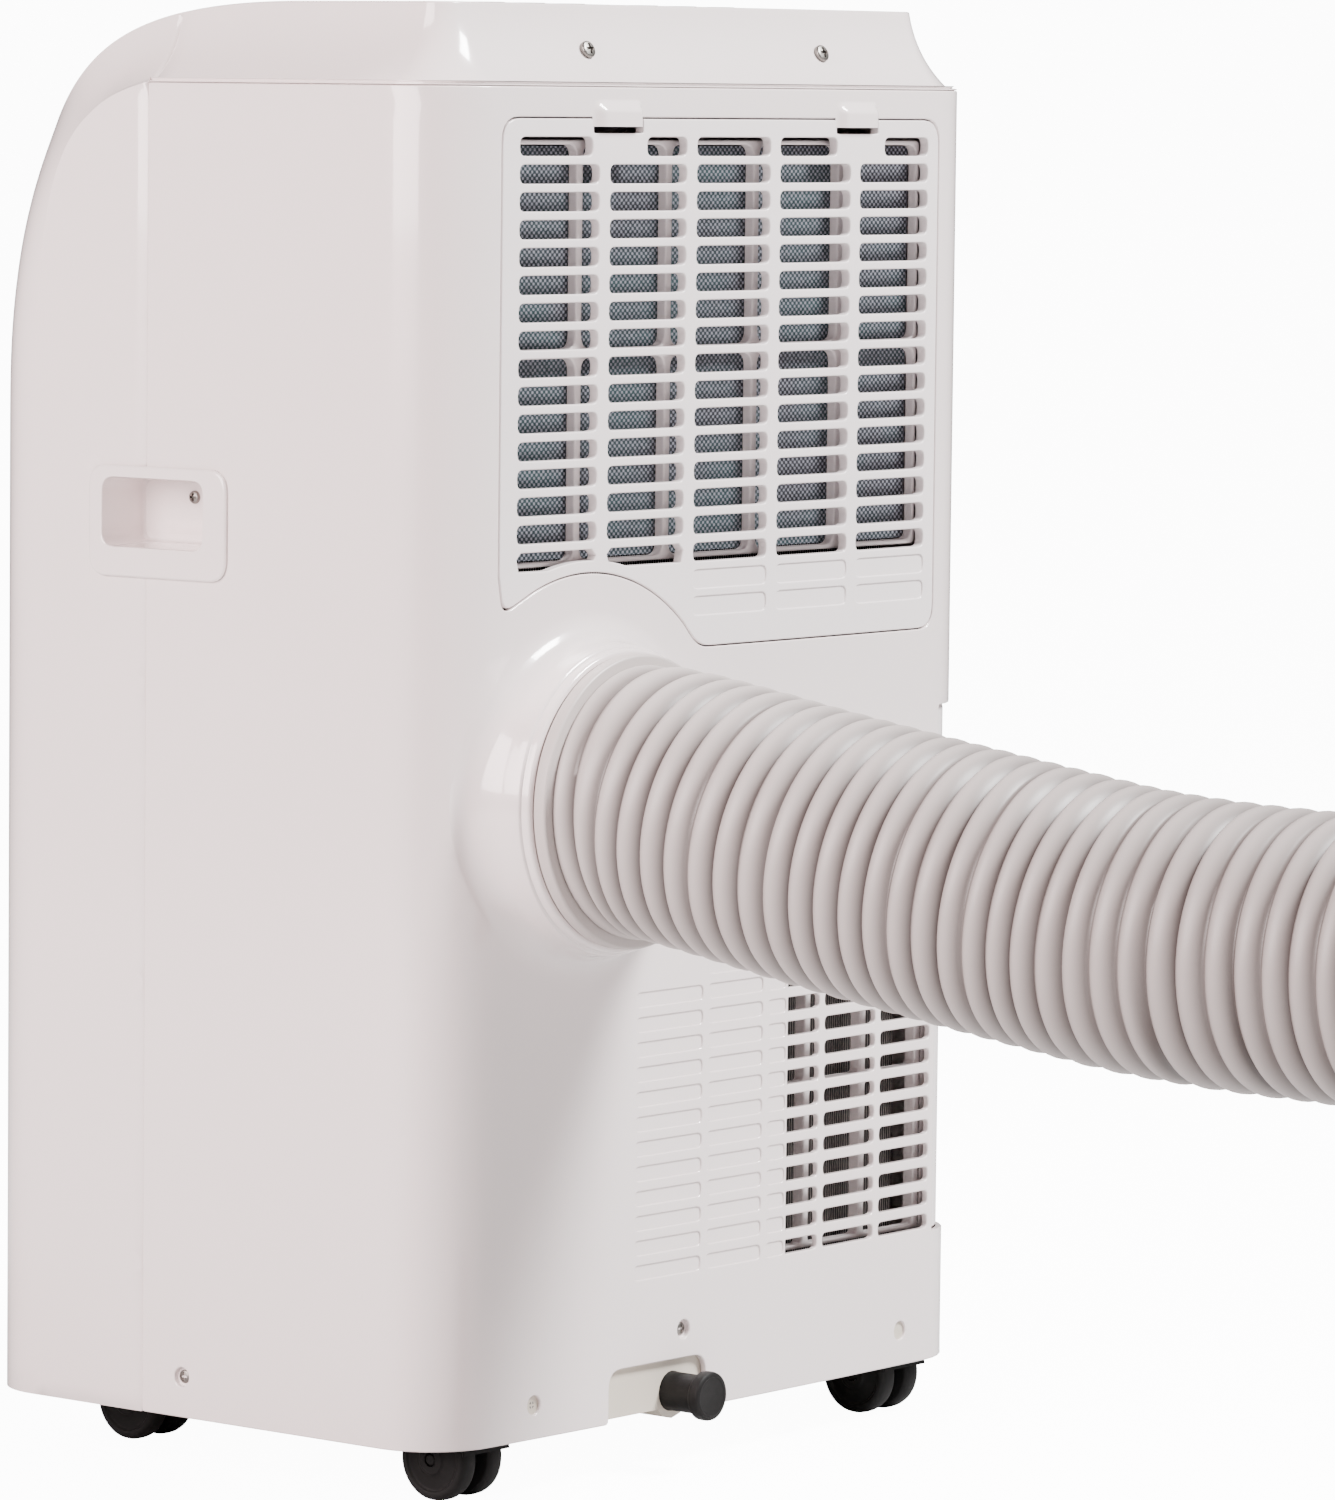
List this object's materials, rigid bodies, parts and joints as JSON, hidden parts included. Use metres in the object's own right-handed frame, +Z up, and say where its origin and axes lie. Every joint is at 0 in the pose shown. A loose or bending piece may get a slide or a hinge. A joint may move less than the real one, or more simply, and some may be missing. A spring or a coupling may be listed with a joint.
{
  "type": "portable air conditioner",
  "caption": "Upright room air conditioner on swivel casters with rear filter grilles, side handles, a front louvre and a corrugated exhaust duct with its window nozzle.",
  "frame": {"origin": "on the floor, under the middle of the casing", "axes": "+Z up; the front louvre faces -Y and the exhaust duct leaves the rear towards +Y; +X is the side of the duct collar"},
  "size_m": [0.434, 1.1983, 0.708],
  "materials": {
    "shell": "glossy warm white ABS",
    "grille": "satin white ABS",
    "pan": "cream moulded polypropylene",
    "duct": "satin warm grey polyethylene",
    "black_plastic": "black moulded nylon",
    "rubber": "black rubber",
    "panel": "dark grey gloss panel",
    "lens": "smoked display window",
    "fins": "blue-coated aluminium fins",
    "filter_net": "woven dark nylon net",
    "steel": "zinc-plated sheet steel",
    "copper": "bare copper tube",
    "enamel": "black baked enamel",
    "white_foam": "white expanded foam and ABS"
  },
  "bodies": {
    "cabinet": {"rear_housing": "shell", "front_shell": "shell", "top_cover": "shell", "base_pan": "pan", "handle_left": "shell", "handle_right": "shell", "control_panel": "panel", "display_window": "lens", "outlet_duct": "white_foam", "hose_connector": "duct", "exhaust_hose": "duct", "window_nozzle": "duct", "power_inlet": "black_plastic", "evaporator_coil": "fins", "condenser_coil": "fins", "evaporator_scroll": "white_foam", "exhaust_scroll": "white_foam", "exhaust_elbow": "white_foam", "evaporator_motor": "steel", "condenser_motor": "steel", "deck": "white_foam", "compressor": "enamel", "electrical_box": "steel", "discharge_pipe": "copper", "suction_pipe": "copper", "slinger_motor": "steel"},
    "filter_cover": {"filter_cover": "grille", "filter_frame": "grille", "filter_mesh": "filter_net"},
    "lower_filter": {"lower_filter": "grille"},
    "louvre": {"louvre": "shell"},
    "drain_plug": {"drain_plug": "rubber"},
    "evaporator_blower": {"evaporator_blower": "black_plastic"},
    "condenser_blower": {"condenser_blower": "black_plastic"},
    "slinger_wheel": {"slinger_wheel": "black_plastic"},
    "float_arm": {"float_arm": "white_foam"},
    "vane_tie_bar": {"vane_tie_bar": "grille"},
    "vane_1": {"vane_1": "grille"},
    "vane_2": {"vane_2": "grille"},
    "vane_3": {"vane_3": "grille"},
    "vane_4": {"vane_4": "grille"},
    "button_1": {"button_1": "panel"},
    "button_2": {"button_2": "panel"},
    "button_3": {"button_3": "panel"},
    "button_4": {"button_4": "panel"},
    "button_5": {"button_5": "panel"},
    "button_6": {"button_6": "panel"},
    "caster_rear_left": {"caster_rear_left_fork": "black_plastic"},
    "caster_rear_left_wheel_a": {"caster_rear_left_wheel_a": "black_plastic"},
    "caster_rear_left_wheel_b": {"caster_rear_left_wheel_b": "black_plastic"},
    "caster_rear_right": {"caster_rear_right_fork": "black_plastic"},
    "caster_rear_right_wheel_a": {"caster_rear_right_wheel_a": "black_plastic"},
    "caster_rear_right_wheel_b": {"caster_rear_right_wheel_b": "black_plastic"},
    "caster_front_left": {"caster_front_left_fork": "black_plastic"},
    "caster_front_left_wheel_a": {"caster_front_left_wheel_a": "black_plastic"},
    "caster_front_left_wheel_b": {"caster_front_left_wheel_b": "black_plastic"},
    "caster_front_right": {"caster_front_right_fork": "black_plastic"},
    "caster_front_right_wheel_a": {"caster_front_right_wheel_a": "black_plastic"},
    "caster_front_right_wheel_b": {"caster_front_right_wheel_b": "black_plastic"}
  },
  "joints": [
    {"name": "filter_cover_tilt", "type": "hinge", "parent": "cabinet", "child": "filter_cover", "pos_m": [0, 0.156, 0.4], "axis": [-1, 0, 0], "range_deg": [0, 35]},
    {"name": "lower_filter_slide", "type": "slide", "parent": "cabinet", "child": "lower_filter", "axis": [-1, 0, 0], "range_m": [0, 0.19]},
    {"name": "louvre_flap", "type": "hinge", "parent": "cabinet", "child": "louvre", "pos_m": [0, -0.141, 0.6385], "axis": [-1, 0, 0], "range_deg": [0, 60]},
    {"name": "vane_1_swing", "type": "hinge", "parent": "cabinet", "child": "vane_1", "pos_m": [-0.096, -0.092, 0.605], "axis": [0, 0, 1], "range_deg": [-30, 30]},
    {"name": "vane_2_swing", "type": "hinge", "parent": "cabinet", "child": "vane_2", "pos_m": [-0.032, -0.092, 0.605], "axis": [0, 0, 1], "range_deg": [-30, 30]},
    {"name": "vane_3_swing", "type": "hinge", "parent": "cabinet", "child": "vane_3", "pos_m": [0.032, -0.092, 0.605], "axis": [0, 0, 1], "range_deg": [-30, 30]},
    {"name": "vane_4_swing", "type": "hinge", "parent": "cabinet", "child": "vane_4", "pos_m": [0.096, -0.092, 0.605], "axis": [0, 0, 1], "range_deg": [-30, 30]},
    {"name": "vane_tie_bar_shift", "type": "slide", "parent": "cabinet", "child": "vane_tie_bar", "axis": [1, 0, 0], "range_m": [-0.0153, 0.0153]},
    {"name": "drain_plug_pull", "type": "slide", "parent": "cabinet", "child": "drain_plug", "axis": [0, 1, 0], "range_m": [0, 0.025]},
    {"name": "button_1_press", "type": "slide", "parent": "cabinet", "child": "button_1", "axis": [0, 0, -1], "range_m": [0, 0.0012], "stiffness_N_per_m": 400},
    {"name": "button_2_press", "type": "slide", "parent": "cabinet", "child": "button_2", "axis": [0, 0, -1], "range_m": [0, 0.0012], "stiffness_N_per_m": 400},
    {"name": "button_3_press", "type": "slide", "parent": "cabinet", "child": "button_3", "axis": [0, 0, -1], "range_m": [0, 0.0012], "stiffness_N_per_m": 400},
    {"name": "button_4_press", "type": "slide", "parent": "cabinet", "child": "button_4", "axis": [0, 0, -1], "range_m": [0, 0.0012], "stiffness_N_per_m": 400},
    {"name": "button_5_press", "type": "slide", "parent": "cabinet", "child": "button_5", "axis": [0, 0, -1], "range_m": [0, 0.0012], "stiffness_N_per_m": 400},
    {"name": "button_6_press", "type": "slide", "parent": "cabinet", "child": "button_6", "axis": [0, 0, -1], "range_m": [0, 0.0012], "stiffness_N_per_m": 400},
    {"name": "evaporator_fan_spin", "type": "hinge", "parent": "cabinet", "child": "evaporator_blower", "pos_m": [0, 0.06, 0.52], "axis": [0, 1, 0], "continuous": true},
    {"name": "condenser_fan_spin", "type": "hinge", "parent": "cabinet", "child": "condenser_blower", "pos_m": [-0.043, 0.06, 0.217], "axis": [0, 1, 0], "continuous": true},
    {"name": "slinger_spin", "type": "hinge", "parent": "cabinet", "child": "slinger_wheel", "pos_m": [-0.06, 0.086, 0.078], "axis": [0, 1, 0], "continuous": true},
    {"name": "float_lift", "type": "hinge", "parent": "cabinet", "child": "float_arm", "pos_m": [0.0655, 0.054, 0.052], "axis": [0, -1, 0], "range_deg": [0, 12]},
    {"name": "caster_rear_left_swivel", "type": "hinge", "parent": "cabinet", "child": "caster_rear_left", "pos_m": [0.163, 0.118, 0.045], "axis": [0, 0, 1], "continuous": true},
    {"name": "caster_rear_left_roll_a", "type": "hinge", "parent": "caster_rear_left", "child": "caster_rear_left_wheel_a", "pos_m": [0.163, 0.124, 0.02], "axis": [1, 0, 0], "continuous": true},
    {"name": "caster_rear_left_roll_b", "type": "hinge", "parent": "caster_rear_left", "child": "caster_rear_left_wheel_b", "pos_m": [0.163, 0.124, 0.02], "axis": [1, 0, 0], "continuous": true},
    {"name": "caster_rear_right_swivel", "type": "hinge", "parent": "cabinet", "child": "caster_rear_right", "pos_m": [-0.163, 0.118, 0.045], "axis": [0, 0, 1], "continuous": true},
    {"name": "caster_rear_right_roll_a", "type": "hinge", "parent": "caster_rear_right", "child": "caster_rear_right_wheel_a", "pos_m": [-0.163, 0.124, 0.02], "axis": [1, 0, 0], "continuous": true},
    {"name": "caster_rear_right_roll_b", "type": "hinge", "parent": "caster_rear_right", "child": "caster_rear_right_wheel_b", "pos_m": [-0.163, 0.124, 0.02], "axis": [1, 0, 0], "continuous": true},
    {"name": "caster_front_left_swivel", "type": "hinge", "parent": "cabinet", "child": "caster_front_left", "pos_m": [0.14, -0.101, 0.045], "axis": [0, 0, 1], "continuous": true},
    {"name": "caster_front_left_roll_a", "type": "hinge", "parent": "caster_front_left", "child": "caster_front_left_wheel_a", "pos_m": [0.14, -0.095, 0.02], "axis": [1, 0, 0], "continuous": true},
    {"name": "caster_front_left_roll_b", "type": "hinge", "parent": "caster_front_left", "child": "caster_front_left_wheel_b", "pos_m": [0.14, -0.095, 0.02], "axis": [1, 0, 0], "continuous": true},
    {"name": "caster_front_right_swivel", "type": "hinge", "parent": "cabinet", "child": "caster_front_right", "pos_m": [-0.14, -0.101, 0.045], "axis": [0, 0, 1], "continuous": true},
    {"name": "caster_front_right_roll_a", "type": "hinge", "parent": "caster_front_right", "child": "caster_front_right_wheel_a", "pos_m": [-0.14, -0.095, 0.02], "axis": [1, 0, 0], "continuous": true},
    {"name": "caster_front_right_roll_b", "type": "hinge", "parent": "caster_front_right", "child": "caster_front_right_wheel_b", "pos_m": [-0.14, -0.095, 0.02], "axis": [1, 0, 0], "continuous": true}
  ],
  "couplings": [
    {"joint": "vane_2_swing", "follows": "vane_1_swing", "ratio": 1},
    {"joint": "vane_3_swing", "follows": "vane_1_swing", "ratio": 1},
    {"joint": "vane_4_swing", "follows": "vane_1_swing", "ratio": 1},
    {"joint": "vane_tie_bar_shift", "follows": "vane_1_swing", "m_per_rad": -0.029}
  ]
}
